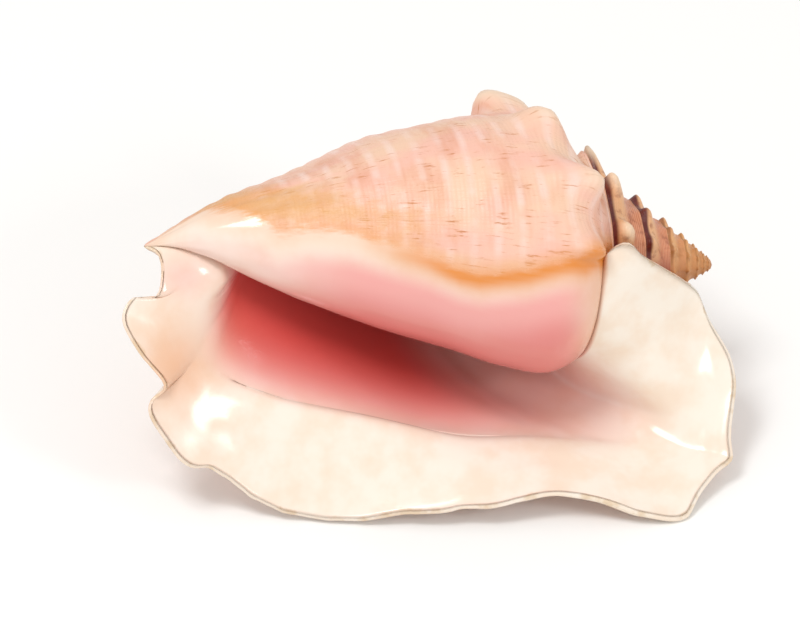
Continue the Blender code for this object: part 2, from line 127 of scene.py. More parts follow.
# %%
# Knobs on the shoulder
# They are steep towards the spire and long towards the canal
KNOBS_PER_TURN = 10
KNOB_SHIFT_TURN = -1.3   # from here the knobs move on by half their distance
KNOB_SHIFT_REACH = 0.5
KNOB_TURNS = (-2.5, -1.6, -1.5, -1.4, -0.75, -0.65, -0.55, -0.45, -0.35, -0.25, -0.15, -0.05)
KNOB_SHARES = (0.115, 0.105, 0.122, 0.1, 0.1, 0.105, 0.135, 0.135, 0.14, 0.14, 0.14, 0.14)
KNOB_HEIGHTS = (4.4, 11.0, 12.0, 11.0, 7.0, 10.0, 9.0, 13.0, 10.0, 13.0, 15.0, 8.0)
KNOB_LEANS = (-0.4, -0.6, -0.7, -0.7, 0.3, 0.5, 0.0, -0.45, -0.3, 0.0, 0.0, 0.0)
KNOB_UPPERS = (0.02, 0.02, 0.02, 0.02, 0.024, 0.024, 0.026, 0.034, 0.026, 0.026, 0.026, 0.026)
KNOB_LOWERS = (0.024, 0.024, 0.024, 0.024, 0.034, 0.034, 0.03, 0.044, 0.038, 0.038, 0.038, 0.038)
KNOB_BLUNTNESS = (2.0, 2.0, 2.0, 2.0, 2.0, 2.0, 2.0, 4.0, 2.0, 2.0, 2.0, 2.0)
LAST_KNOB_SHARE = 0.14
KNOB_WIDTH = 0.17        # of the distance between two knobs
KNOBS_END = (-0.13, 0.1)                 # where the last knob dies out, and how fast
KNOBS_COVERED = ((-1.36, -0.8, 1.0), (-2.08, -1.78, 1.0), (-3.08, -2.78, 0.6))
COVER_REACH = 0.08

# %% [markdown]
# The lip is no spiral any more. A grown animal stops turning and spreads its
# edge into a broad wing. Its outline is given as it is seen from the front,
# and the crest is the line where the wing folds over into the tube.

# %%
# Driving dimensions of the lip
# Free edge of the lip, seen from the front: along the axis, up, forwards
EDGE_OUTLINE = (
    (36.5, 4.8, 36.0), (30.6, 0.8, 32.0), (22.2, -3.4, 24.5),
    (12.6, -7.8, 16.0), (6.8, -11.0, 11.0), (-1.5, -24.4, 7.0),
    (-10.6, -37.7, 8.0), (-13.4, -47.5, 10.0), (-13.0, -57.6, 12.0),
    (-12.3, -69.6, 14.0), (-13.4, -78.4, 16.0), (-8.2, -84.0, 18.0),
    (-1.0, -94.6, 22.0), (2.4, -102.1, 24.0), (22.3, -103.7, 26.0),
    (38.7, -99.7, 25.0), (54.9, -98.2, 22.0), (78.5, -104.1, 18.0),
    (98.0, -107.5, 13.0), (118.0, -110.0, 7.0), (138.0, -114.0, 0.0),
    (158.0, -113.0, -5.0), (170.2, -111.3, -6.0), (182.7, -105.1, -5.0),
    (197.4, -97.4, -2.0), (203.4, -97.5, 0.0), (214.2, -87.5, 3.0),
    (221.8, -72.0, 6.0), (216.6, -66.8, 7.0), (226.8, -54.4, 8.0),
    (235.0, -37.8, 7.0), (231.0, -31.5, 6.0), (221.5, -29.5, 5.0),
    (220.2, -21.7, 4.0), (221.9, -15.1, 3.0),
)
# Crest of the lip: share of the edge's length, then along, forwards, up
CREST_LINE = (
    (0.0, 50.0, 5.0, -34.0), (0.03, 44.0, 4.0, -38.0), (0.06, 38.0, 3.0, -41.0),
    (0.11, 28.0, 1.0, -44.0), (0.15, 22.0, 0.0, -50.0), (0.2, 17.0, 0.0, -60.0),
    (0.27, 20.0, 0.0, -71.0), (0.33, 32.0, 1.0, -78.0), (0.38, 50.0, 0.0, -78.0),
    (0.42, 65.0, 0.0, -78.0), (0.5, 98.0, -1.0, -80.0), (0.6, 138.0, -4.0, -75.0),
    (0.7, 178.0, -7.0, -69.0), (0.78, 201.0, -7.0, -60.0), (0.82, 207.0, -6.0, -53.0),
    (0.86, 211.0, -5.0, -45.0), (0.9, 213.0, -3.0, -36.0), (0.93, 208.0, -2.0, -29.0),
    (0.96, 208.0, -1.0, -22.0), (1.0, 235.0, 0.0, -11.0),
)
# An outline share on the spiral runs to this share of the edge's length
SPIRAL_SHARES = (0.0, 0.05, 0.14, 0.27, 0.75, 0.9, 1.0)
EDGE_SHARES = (0.0, 0.11, 0.27, 0.42, 0.78, 0.93, 1.0)
# How the lip leaves the spiral and crosses its crest
LEAVE_PULL = 2.6
CROSS_SHARES = (0.0, 0.11, 0.22, 1.0)
CROSS_PULLS = (1.6, 1.5, 1.0, 1.0)
CREST_SHARES = (0.0, 0.25, 0.4, 0.75, 0.85, 1.0)
CREST_FLATNESS = (1.0, 1.0, 0.2, 0.2, 0.8, 1.0)
WING_CURL = (-10.0, 0.0, 105.0)          # the wing curls up against the spire
WING_SHARE = 0.05
WING_REACH = 0.15

WALL = 4.0
EDGE_THICKNESS = 3.0
CANAL_THICKNESS = 1.6
CANAL_WALL_SHARE = 0.72
RIM_ROUNDNESS = 0.4

# %% [markdown]
# ## Curves through tables
#
# Two kinds of curve carry the whole form. One runs smoothly through the rows
# of a table. The other is the smooth step, which lets one thing end where the
# next begins without an edge.

# %%
# Smooth curves and small helpers
def cell_curve(start, end, leave, arrive, x):
    """Smooth curve across one cell, from its ends and its slopes there."""
    return (
        start * (2 * x**3 - 3 * x**2 + 1) + leave * (x**3 - 2 * x**2 + x)
        + end * (3 * x**2 - 2 * x**3) + arrive * (x**3 - x**2)
    )


def slopes_at(values, step):
    """Slopes at the knots of a curve, the knots along the second last axis."""
    chord = np.diff(values, axis=-2) / step[:, None]
    before = step[:-1, None]
    after = step[1:, None]
    inner = chord[..., :-1, :] * after + chord[..., 1:, :] * before
    return np.concatenate(
        [chord[..., :1, :], inner / (before + after), chord[..., -1:, :]], axis=-2)


def smooth_curve(places, values, at):
    """Smooth curve through rows of values, at rising places."""
    places = np.asarray(places, float)
    values = np.asarray(values, float)
    at = np.asarray(at, float)
    step = np.diff(places)
    slope = slopes_at(values, step)
    cell = np.clip(np.searchsorted(places, at, side="right") - 1, 0, len(step) - 1)
    width = step[cell][..., None]
    x = (at - places[cell])[..., None] / width
    return cell_curve(values[cell], values[cell + 1], slope[cell] * width,
                      slope[cell + 1] * width, x)


def smooth_value(places, values, at):
    """Smooth curve through single numbers, constant beyond its ends."""
    at = np.clip(at, places[0], places[-1])
    return smooth_curve(places, np.asarray(values, float)[:, None], at)[..., 0]


def fade(x):
    """Smooth step from 0 to 1."""
    x = np.clip(x, 0.0, 1.0)
    return x * x * (3.0 - 2.0 * x)


def unit(vectors):
    """Vectors made one long."""
    return vectors / (np.linalg.norm(vectors, axis=-1, keepdims=True) + 1e-12)


def spread(turn, share):
    """Both as arrays of one shape."""
    return np.broadcast_arrays(np.asarray(turn, float), np.asarray(share, float))

# %% [markdown]
# ## One whorl
#
# A plain outline first, then the knobs that stand on its shoulder. Each new
# whorl is cemented to the one before, so its start is pulled to the seam.

# %%
# Whorl outline, knobs and seam
def seam_share(turn):
    """Share of the outline where the next whorl starts."""
    return smooth_value(SEAM_TURNS, SEAM_SHARES, turn)


def crease_share(turn):
    """Share of the outline where the inside of the next whorl meets it."""
    return smooth_value(CREASE_TURNS, CREASE_SHARES, turn)


def knob_share(turn):
    """Share of the outline on which the knobs stand."""
    return smooth_value(KNOB_TURNS, KNOB_SHARES, turn)


def whorl_outline(turn, share):
    """Along the axis and radius of the plain whorl, without knobs."""
    turn, share = spread(turn, share)
    shape = turn.shape
    levels, row = np.unique(turn.ravel(), return_inverse=True)
    share = share.ravel()
    first = OUTLINE_TURNS[0]
    table = np.array(OUTLINES).reshape(len(OUTLINES), -1)
    knots = smooth_curve(OUTLINE_TURNS, table, np.maximum(levels, first))
    knots = knots.reshape(-1, len(KNOT_PLACES), 2)
    knots[levels >= BODY_EDGE - TINY, -1] = (CANAL_LENGTH, 0.0)
    places = np.array(KNOT_PLACES)
    step = np.diff(places)
    slope = slopes_at(knots, step)
    cell = np.clip(np.searchsorted(places, share, side="right") - 1, 0, len(step) - 1)
    width = step[cell][:, None]
    x = (share - places[cell])[:, None] / width
    point = cell_curve(knots[row, cell], knots[row, cell + 1], slope[row, cell] * width,
                       slope[row, cell + 1] * width, x)
    scale = GROWTH ** np.minimum(levels - first, 0.0)
    return (point * scale[row, None]).reshape(shape + (2,))


def knob_height(turn, share):
    """Height of the knobs over the plain whorl."""
    shift = 0.5 * fade((turn - KNOB_SHIFT_TURN) / KNOB_SHIFT_REACH)
    count = turn * KNOBS_PER_TURN + shift
    off = np.abs(count - np.round(count))
    ridge = np.exp(-0.5 * (off / KNOB_WIDTH) ** 2)
    off = share - knob_share(turn)
    reach = np.where(off < 0.0, smooth_value(KNOB_TURNS, KNOB_UPPERS, turn),
                     smooth_value(KNOB_TURNS, KNOB_LOWERS, turn))
    across = np.exp(-0.5 * np.abs(off / reach) ** smooth_value(KNOB_TURNS, KNOB_BLUNTNESS, turn))
    early = np.minimum(turn - KNOB_TURNS[0], 0.0)
    height = smooth_value(KNOB_TURNS, KNOB_HEIGHTS, turn) * GROWTH**early
    for start, stop, depth in KNOBS_COVERED:
        inside = fade((turn - start) / COVER_REACH) * (1.0 - fade((turn - stop) / COVER_REACH))
        height = height * (1.0 - depth * inside)
    hidden = fade((share - seam_share(turn)) / 0.03) * (turn < BODY_EDGE)
    ending = fade((turn - KNOBS_END[0]) / KNOBS_END[1])
    return height * ridge * across * (1.0 - hidden) * (1.0 - ending)


def whorl(turn, share, knobs=True, depth=0):
    """Along the axis and radius of the outer skin of a whorl."""
    turn, share = spread(turn, share)
    point = whorl_outline(turn, share)
    if knobs:
        small = 0.002
        run = whorl_outline(turn, np.minimum(share + small, 1.0))
        run = run - whorl_outline(turn, np.maximum(share - small, 0.0))
        normal = unit(np.stack([-run[..., 1], run[..., 0]], axis=-1))
        normal[..., 0] -= smooth_value(KNOB_TURNS, KNOB_LEANS, turn)
        point = point + unit(normal) * knob_height(turn, share)[..., None]
    if depth < WHORLS_BENEATH:
        levels, row = np.unique(turn.ravel(), return_inverse=True)
        seam = whorl(levels - 1.0, seam_share(levels - 1.0), True, depth + 1)
        pull = seam - whorl_outline(levels, np.zeros(levels.shape))
        pull = pull[row].reshape(point.shape)
        point = point + pull * (1.0 - fade(share / SEAM_FILLET))[..., None]
    return point

# %% [markdown]
# ## Round the axis
#
# The outline is swung round the axis. Near the canal the whole shell bends a
# little towards the lip, as real ones do.

# %%
# The coiled skin
def place(along, radius, turn):
    """Point in the shell's own frame: along, forwards, up."""
    angle = 2.0 * math.pi * (turn - BODY_EDGE)
    along = along - BLUNT_TIP * (1.0 - fade(along / BLUNT_REACH))
    bend = np.maximum(along - BEND_START, 0.0) / (CANAL_LENGTH - BEND_START)
    up = radius * np.sin(angle) - BEND_DEPTH * bend**2
    return np.stack([along, radius * np.cos(angle), up], axis=-1)


def spiral_skin(turn, share, knobs=True):
    """Outer skin of the coiled part."""
    turn, share = spread(turn, share)
    outline = whorl(turn, share, knobs)
    return place(outline[..., 0], outline[..., 1], turn)

# %% [markdown]
# ## The wing of the lip
#
# The lip is a sheet between the last coiled row and the free edge, and it
# passes over the crest on its way. Two smooth pieces meet there.

# %%
# The lip
def edge_curve():
    """Free edge of the lip as points and their shares of its length."""
    body = np.array([BODY_EDGE])
    start = spiral_skin(body, seam_share(body))
    tip = place(np.array([CANAL_LENGTH]), np.zeros(1), body)
    seen = np.array(EDGE_OUTLINE)
    along = (seen[:, 0] + seen[:, 2] * math.sin(AXIS_TURN)) / math.cos(AXIS_TURN)
    middle = np.stack([along, seen[:, 2], seen[:, 1]], axis=-1)
    points = np.vstack([start, middle, tip])
    length = np.cumsum(np.linalg.norm(np.diff(points, axis=0), axis=1))
    length = np.concatenate([[0.0], length])
    return points, length / length[-1]


EDGE_POINTS, EDGE_LENGTHS = edge_curve()


def lip_skin(turn, share):
    """Outer skin of the flaring lip, from the last whorl to the free edge."""
    turn, share = spread(turn, share)
    small = 0.004
    root = spiral_skin(LIP_START, share, False)
    leave = unit(root - spiral_skin(LIP_START - small, share, False))
    at = np.interp(share, SPIRAL_SHARES, EDGE_SHARES)
    edge = smooth_curve(EDGE_LENGTHS, EDGE_POINTS, at)
    line = np.array(CREST_LINE)
    crest = smooth_curve(line[:, 0], line[:, 1:], at)
    reach = np.linalg.norm(crest - root, axis=-1, keepdims=True)
    cross = (edge - root) * smooth_value(CROSS_SHARES, CROSS_PULLS, at)[..., None]
    cross[..., 2] *= smooth_value(CREST_SHARES, CREST_FLATNESS, at)
    arrive = 2.0 * (edge - crest)
    wing = (1.0 - fade((at - WING_SHARE) / WING_REACH))[..., None]
    arrive = arrive + wing * (np.array(WING_CURL) - arrive)
    t = ((turn - LIP_START) / (FREE_EDGE - LIP_START))[..., None]
    first = cell_curve(root, crest, leave * reach * LEAVE_PULL / 2, cross / 2, 2.0 * t)
    second = cell_curve(crest, edge, cross / 2, arrive / 2, 2.0 * t - 1.0)
    return np.where(t < 0.5, first, second)


def skin_normal(surface, turn, share):
    """Direction square to a surface, away from the hollow."""
    small = 1e-3
    across = surface(turn, np.minimum(share + small, 1.0))
    across = across - surface(turn, np.maximum(share - small, 0.0))
    grow = surface(np.minimum(turn + small, FREE_EDGE), share)
    grow = grow - surface(turn - small, share)
    return unit(np.cross(grow, across))


def skin(turn, share, knobs=True):
    """Outer skin everywhere, from the tip of the spire to the free edge."""
    turn, share = spread(turn, share)
    coiled = spiral_skin(np.minimum(turn, LIP_START), share, knobs)
    on_lip = np.maximum(turn, LIP_START)
    lip = lip_skin(on_lip, share)
    before = turn - 1.0
    seam = spiral_skin(before, seam_share(before))
    pull = (1.0 - fade(share / LIP_SEAM_FILLET))[..., None]
    lip = lip + (seam - lip_skin(on_lip, np.zeros(turn.shape))) * pull
    if knobs:
        lip = lip + skin_normal(lip_skin, on_lip, share) * knob_height(turn, share)[..., None]
    return np.where((turn > LIP_START)[..., None], lip, coiled)


def plain_skin(turn, share):
    """The outer skin without its knobs."""
    return skin(turn, share, False)


def inner_skin(turn, share, start):
    """Inside wall of the tube and the lip on one row, begun at a point."""
    late = max(0.0, (turn - LIP_START) / (FREE_EDGE - LIP_START))
    skip = smooth_value(INSIDE_TURNS, INSIDE_SHARES, turn)
    turns = np.full(share.shape, turn)
    on_skin = skip + (1.0 - skip) * share
    thick = WALL + (EDGE_THICKNESS - WALL) * fade(late)
    canal = fade((share - CANAL_WALL_SHARE) / 0.1) * fade(late * 1.5 - 0.5)
    thick = thick + (CANAL_THICKNESS - thick) * canal
    thick = thick * fade((1.0 - share) / 0.12)
    row = plain_skin(turns, on_skin)
    row = row - skin_normal(plain_skin, turns, on_skin) * thick[:, None]
    pull = 1.0 - fade(share / 0.07)
    row = row + (start - row[0]) * pull[:, None]
    # near the canal the wall closes on the column of the whorl before
    reach = 0.6 + 0.35 * late
    column = spiral_skin(turn - 1.0, share, False)
    pull = fade((share - reach) / (1.0 - reach))
    return row + (column - row) * pull[:, None]

# %% [markdown]
# ## Fine relief
#
# What follows is only on the visible skin, as heights over the smooth form.
# The outside of a conch is rough: broad spiral cords, folds along the growth
# lines and old rest marks. The glazed inside is smooth, with slow waves.

# %%
# Directions of the front view
def seen_from_front(points):
    """From the shell's own frame to right, away and up, as seen from the front."""
    dip = AXIS_DIP
    turn = AXIS_TURN
    along = (-math.cos(turn) * math.cos(dip), -math.sin(turn), math.cos(turn) * math.sin(dip))
    forwards = (math.sin(turn) * math.cos(dip), -math.cos(turn), -math.sin(turn) * math.sin(dip))
    up = (math.sin(dip), 0.0, math.cos(dip))
    return points @ np.array([along, forwards, up])

# %%
# Repeatable noise and the heights it makes
# Cells of the fine skin
ROWS_PER_TURN = 120
SUTURE_COLUMNS = 20
EDGE_COLUMNS = 6
INNER_COLUMNS = 180

# Relief of the skin, heights in millimetres
BODY_ROUND = 310.0       # once round the last whorl
BODY_LENGTH = 190.0      # from its seam to the canal
CORD_GAP = 9.0
CORD_HEIGHT = 0.28
FOLD_GAP = 7.0
FOLD_HEIGHT = 0.3
SWELL_GAP = 24.0
SWELL_HEIGHT = 0.5
GLAZE_WAVE = 0.22
CHIP_GAP = 6.0
CHIP_DEPTH = 1.3
RIM_REACH = 0.02         # share of a turn over which the edge is worn


def noise(x, y, seed):
    """Smooth random values from -1 to 1, with one hill or dale per unit."""
    lattice = np.random.RandomState(seed).uniform(-1.0, 1.0, (256, 256))
    x, y = np.broadcast_arrays(x, y)
    column = np.floor(x).astype(int)
    row = np.floor(y).astype(int)
    u = fade(x - column)
    v = fade(y - row)

    def corner(i, j):
        return lattice[(column + i) % 256, (row + j) % 256]

    near = corner(0, 0) * (1 - u) + corner(1, 0) * u
    far = corner(0, 1) * (1 - u) + corner(1, 1) * u
    return near * (1 - v) + far * v


def rough_relief(turn, share):
    """Cords, growth folds and swellings of the chalky outside."""
    x = turn * BODY_ROUND
    y = share * BODY_LENGTH
    wander = 0.35 * noise(x / 40, y / 30, 1)
    cords = np.cos(2 * math.pi * (y / CORD_GAP + wander))
    cords = cords * (0.6 + 0.4 * noise(x / 25, y / 12, 2)) * fade((share - 0.12) / 0.1)
    folds = noise(x / FOLD_GAP, y / 45, 3)
    swell = noise(x / SWELL_GAP, y / SWELL_GAP, 4)
    return CORD_HEIGHT * cords + FOLD_HEIGHT * folds + SWELL_HEIGHT * swell


def chips(share):
    """Depth of the wear along the free edge."""
    along = share * 400.0
    coarse = noise(along / (3 * CHIP_GAP), 0.0 * along, 5)
    fine = noise(along / CHIP_GAP, 0.0 * along, 6)
    return CHIP_DEPTH * np.clip(0.2 + 0.5 * coarse + 0.45 * fine, 0.0, 1.0)

# %% [markdown]
# ## The net
#
# One closed skin: the outside, round the rim, and back down the inside. Each
# point also keeps what the materials need to know about it.

# %%
# Points, faces and what each point knows
def column_shares(turn):
    """Outline shares of the mesh columns on one row."""
    if turn <= BODY_EDGE + TINY:
        seam = float(seam_share(turn))
        crease = float(crease_share(turn))
        peak = min(float(knob_share(turn)), 0.9 * seam)
    else:
        grow = min((turn - BODY_EDGE) / 0.09, 1.0)
        seam = SEAM_SHARES[-1] + (LAST_KNOB_SHARE - SEAM_SHARES[-1]) * grow
        crease = seam + CREASE_SHARES[-1] - SEAM_SHARES[-1]
        peak = 0.6 * seam
    bends = (0.0, 0.2, 0.4, 0.6, 0.8, 1.0)
    upper = np.interp(np.linspace(0.0, 1.0, SUTURE_COLUMNS + 1), bends,
                      (0.0, peak / 3, peak * 2 / 3, peak, (peak + seam) / 2, seam))
    band = np.linspace(seam, crease, EDGE_COLUMNS + 1)[1:]
    lower = np.linspace(0.0, 1.0, INNER_COLUMNS + 1)[1:]
    lower = crease + (1.0 - crease) * (0.45 * lower**1.6 + 0.55 * lower)
    plain = np.concatenate([upper, band, lower])
    even = np.linspace(0.0, 1.0, len(plain))
    edge = np.interp(even, EDGE_SHARES, SPIRAL_SHARES)
    blend = fade((turn - LIP_START + 0.15) / (FREE_EDGE - LIP_START + 0.15))
    return plain * (1.0 - blend) + edge * blend


# Upper border of the glaze over the body, from the front: right, up
GLAZE_BORDER = (
    (-227.2, 10.4), (-216.4, 20.0), (-207.2, 24.8), (-202.4, 22.4), (-192.0, 21.6),
    (-182.4, 18.4), (-175.2, 12.8), (-162.4, 14.4), (-146.4, 12.8), (-130.4, 8.0),
    (-115.2, 4.0), (-102.4, -1.6), (-94.4, -3.2), (-84.8, -2.4), (-75.2, -1.6),
    (-64.0, 1.6), (-58.4, 2.8), (-52.0, 4.0), (-48.4, 6.8), (-42.4, 8.4),
)
DEEP_IN_GLAZE = 40.0
FAR_FROM_GLAZE = -30.0
SUTURE_BAND = 0.02


def glaze_depth(points, turn, share):
    """How far the outer skin lies under the glaze of the front, in mm."""
    border = np.array(GLAZE_BORDER)
    seen = seen_from_front(points)
    depth = np.interp(seen[..., 0], border[:, 0], border[:, 1]) - seen[..., 2]
    depth = np.clip(depth, FAR_FROM_GLAZE, DEEP_IN_GLAZE)
    behind = fade((turn - BODY_EDGE - 0.17) / 0.08)
    depth = depth * (1.0 - behind) + FAR_FROM_GLAZE * behind
    below = fade((BODY_EDGE - 0.2 - turn) / 0.08) * DEEP_IN_GLAZE
    inside = share > seam_share(turn) + 0.5 * SUTURE_BAND
    return np.where(turn < BODY_EDGE - 0.2, np.where(inside, np.maximum(depth, below), FAR_FROM_GLAZE), depth)


def grid_normals(grid):
    """Directions square to a grid of points."""
    return unit(np.cross(np.gradient(grid, axis=0), np.gradient(grid, axis=1)))


def edge_distance(grid):
    """Length along each column from the free edge back to every point."""
    steps = np.linalg.norm(np.diff(grid, axis=0), axis=-1)
    run = np.cumsum(steps[::-1], axis=0)[::-1]
    return np.concatenate([run, np.zeros((1, grid.shape[1]))])


class Net:
    """The closed skin: its points, shared by key, its faces and notes."""

    def __init__(self):
        self.points = []
        self.notes = []
        self.faces = []
        self.known = {}

    def point(self, key, place_of, note):
        """Number of the point with this key, added at its first use."""
        if key not in self.known:
            self.known[key] = len(self.points)
            self.points.append(tuple(place_of))
            self.notes.append(tuple(note))
        return self.known[key]

    def face(self, corners):
        """One face, without the corners that fall together."""
        ring = list(dict.fromkeys(corners))
        if len(ring) > 2:
            self.faces.append(ring)

    def patch(self, corner, rows, columns):
        """A field of four-sided faces between points given by row and column."""
        for i in range(rows[0], rows[1]):
            for j in range(columns[0], columns[1]):
                self.face([corner(i, j), corner(i + 1, j), corner(i + 1, j + 1), corner(i, j + 1)])


def outer_grid(turn_of, shares, body, crease):
    """Outer skin with its relief, and the notes of each point."""
    turn = turn_of[:, None] + 0.0 * shares
    grid = skin(turn, shares)
    depth = glaze_depth(grid, turn, shares)
    rough = 1.0 - fade((depth + 3.0) / 6.0)
    relief = rough_relief(turn, shares) * rough
    relief = relief + GLAZE_WAVE * noise(turn * 30, shares * 14, 7) * (1.0 - rough)
    relief = relief * np.minimum(GROWTH ** (turn + 1.0), 1.0)
    hold = fade(shares / 0.02)
    coiled = turn_of[:, None] <= BODY_EDGE + TINY
    seam = seam_share(turn_of)[:, None]
    above = fade((seam - shares) / 0.012)
    under = fade((shares - crease_share(turn_of)[:, None]) / 0.03)
    hold = hold * np.where(coiled, np.maximum(above, under), 1.0)
    grid = grid + grid_normals(grid) * (relief * hold)[..., None]
    return grid, turn, depth


def build_net():
    """The whole shell in its own frame, as one closed skin."""
    rows = round((FREE_EDGE - FIRST_TURN) * ROWS_PER_TURN)
    turn_of = FIRST_TURN + np.arange(rows + 1) / ROWS_PER_TURN
    body = rows - ROWS_PER_TURN
    deep = round((DEEPEST_TURN - FIRST_TURN) * ROWS_PER_TURN)
    crease = SUTURE_COLUMNS + EDGE_COLUMNS
    last = crease + INNER_COLUMNS
    shares = np.array([column_shares(t) for t in turn_of])
    outer, turn, depth = outer_grid(turn_of, shares, body, crease)
    inner = np.zeros_like(outer)
    for i in range(deep, rows + 1):
        inner[i] = inner_skin(turn_of[i], shares[i], outer[i - ROWS_PER_TURN, crease])
    wave = GLAZE_WAVE * noise(turn[deep:] * 30, shares[deep:] * 14, 8)
    wave = wave * fade(shares[deep:] / 0.1) * fade((1.0 - shares[deep:]) / 0.4)
    inner[deep:] += grid_normals(inner[deep:]) * wave[..., None]

    # Wear along the free edge
    outward = unit(outer[rows] - outer[rows - 1])
    worn = fade((turn_of - (FREE_EDGE - RIM_REACH)) / RIM_REACH)[:, None, None]
    wear = (chips(shares[rows]) * fade(shares[rows] / 0.04) * fade((1 - shares[rows]) / 0.04))
    outer = outer - worn * (outward * wear[:, None])[None]
    inner[deep:] -= worn[deep:] * (outward * wear[:, None])[None]

    to_edge = edge_distance(outer)
    knobs = knob_height(turn, shares)
    outer_note = np.stack([turn, shares, 0 * turn, depth, to_edge, knobs], axis=-1)
    inner_note = np.stack([turn, shares, 1 + 0 * turn, DEEP_IN_GLAZE + 0 * turn,
                           to_edge, 0 * turn], axis=-1)
    net = Net()
    tip = net.point("canal", outer[body, last], outer_note[body, last])

    def outer_point(i, j):
        if j == last and i >= body:
            return tip
        if j == SUTURE_COLUMNS and i <= body:
            return outer_point(i + ROWS_PER_TURN, 0)
        return net.point(("outer", i, j), outer[i, j], outer_note[i, j])

    def column_point(i, j):
        if i == body:
            return outer_point(i, j)
        return net.point(("column", i, j), outer[i, j], outer_note[i, j])

    def inner_point(i, j):
        if j == 0:
            return column_point(i - ROWS_PER_TURN, crease)
        if j == last:
            return column_point(i - ROWS_PER_TURN, last)
        return net.point(("inner", i, j), inner[i, j], inner_note[i, j])

    def rim_point(m, j):
        if j == 0:
            return outer_point(body, SUTURE_COLUMNS + m)
        if j == last:
            return tip
        if m == 0:
            return outer_point(rows, j)
        if m == EDGE_COLUMNS:
            return inner_point(rows, j)
        x = m / EDGE_COLUMNS
        bulge = math.sin(math.pi * x) * RIM_ROUNDNESS * EDGE_THICKNESS
        point = outer[rows, j] * (1 - x) + inner[rows, j] * x + outward[j] * bulge
        note = inner_note[rows, j]
        return net.point(("rim", m, j), point, note)

    net.patch(outer_point, (0, body), (0, SUTURE_COLUMNS))
    net.patch(outer_point, (body, rows), (0, last))
    net.patch(column_point, (deep - ROWS_PER_TURN, body), (crease, last))
    net.patch(inner_point, (deep, rows), (0, last))
    net.patch(rim_point, (0, EDGE_COLUMNS), (0, last))

    # Blind end of the tube, between the inside wall and the column
    left = [inner_point(deep, j) for j in range(last + 1)]
    right = [column_point(deep - ROWS_PER_TURN, j) for j in range(crease, last + 1)]
    a = 0
    b = 0
    while a < last or b < INNER_COLUMNS:
        if a < last and (b == INNER_COLUMNS or (a + 1) * INNER_COLUMNS <= (b + 1) * last):
            net.face([left[a], left[a + 1], right[b]])
            a += 1
        else:
            net.face([left[a], right[b + 1], right[b]])
            b += 1

    # Blunt tip of the spire
    apex = net.point("apex", (outer[0, 0][0] - APEX_RISE, 0.0, 0.0), outer_note[0, 0])
    ring = [outer_point(i, 0) for i in range(ROWS_PER_TURN + 1)]
    ring += [outer_point(0, j) for j in range(SUTURE_COLUMNS - 1, 0, -1)]
    for k in range(len(ring)):
        net.face([ring[k], ring[(k + 1) % len(ring)], apex])
    return np.array(net.points), np.array(net.notes), net.faces

# %% [markdown]
# ## Laying the shell down
#
# The form was measured in a front view. It rests on the edge of its lip and
# on one knob of its back, so it is tilted and rolled a little to lie so.

# %%
# From the front view to the resting shell
REST_TILT = math.radians(40.1)
REST_ROLL = math.radians(1.2)
REST_SHIFT = (-112.987, -20.917, -60.502)


def rest_turns():
    """The roll and the tilt as tables of three rows."""
    roll = np.array([
        (math.cos(REST_ROLL), 0.0, math.sin(REST_ROLL)),
        (0.0, 1.0, 0.0),
        (-math.sin(REST_ROLL), 0.0, math.cos(REST_ROLL)),
    ])
    tilt = np.array([
        (1.0, 0.0, 0.0),
        (0.0, math.cos(REST_TILT), -math.sin(REST_TILT)),
        (0.0, math.sin(REST_TILT), math.cos(REST_TILT)),
    ])
    return roll @ tilt


def laid_down(points):
    """From the front view to the resting shell."""
    return points @ rest_turns() - np.array(REST_SHIFT)

# %%
# The piece itself
MM = 0.001


def store(mesh, name, values):
    """Three numbers for each point, kept with the mesh."""
    layer = mesh.attributes.new(name, "FLOAT_VECTOR", "POINT")
    layer.data.foreach_set("vector", np.asarray(values, np.float32).ravel())


def spot(seen, centre, reach):
    """A soft spot on the front view: 1 in its middle, 0 outside."""
    x = (seen[:, 0] - centre[0]) / reach[0]
    z = (seen[:, 2] - centre[1]) / reach[1]
    return np.exp(-x * x - z * z)


def glaze_tints(seen, notes):
    """How pink, how orange and how deep red the glaze is at each point."""
    turn, share, side, depth = notes[:, 0], notes[:, 1], notes[:, 2], notes[:, 3]
    x = seen[:, 0]
    on_body = 1.0 - side
    # over the body: orange at the border, pink below it, pale at the canal
    along = fade((x + 205.0) / 70.0)
    pink = fade((depth - 5.0) / 12.0) * (0.25 + 0.75 * along) * on_body
    orange = np.exp(-((depth - 3.0) / 6.0) ** 2) * (0.3 + 0.7 * fade((x + 150.0) / 50.0))
    orange = orange * on_body
    margin = np.exp(-((x + 46.0) / 9.0) ** 2) * on_body * (turn > -1.0)
    pink = pink * (1.0 - 0.8 * margin)
    orange = orange + 0.45 * margin
    deep = fade((depth - 18.0) / 14.0) * 0.5 * along * on_body * (1.0 - margin)
    # inside the tube: the deeper, the redder
    tube = fade((0.07 - turn) / 0.16) * side
    wide_end = 1.0 - fade((share - 0.1) / 0.22)
    pink = pink + tube * (0.95 - 0.45 * wide_end)
    deep = deep + tube * fade((0.0 - turn) / 0.12) * (1.0 - 0.8 * wide_end)
    # the parts of the column that lie inside
    inside = fade((-0.97 - turn) / 0.08) * on_body * (depth > 0)
    pink = np.maximum(pink, inside)
    deep = np.maximum(deep, 0.8 * inside)
    # peach and lilac breath over the lip near the canal
    breath = 0.5 * spot(seen, (-215.0, -40.0), (18.0, 22.0)) * side
    orange = orange + breath
    pink = pink + 0.5 * spot(seen, (-213.0, -5.0), (12.0, 9.0))
    return np.clip(np.stack([pink, orange, deep], axis=-1), 0.0, 1.0)


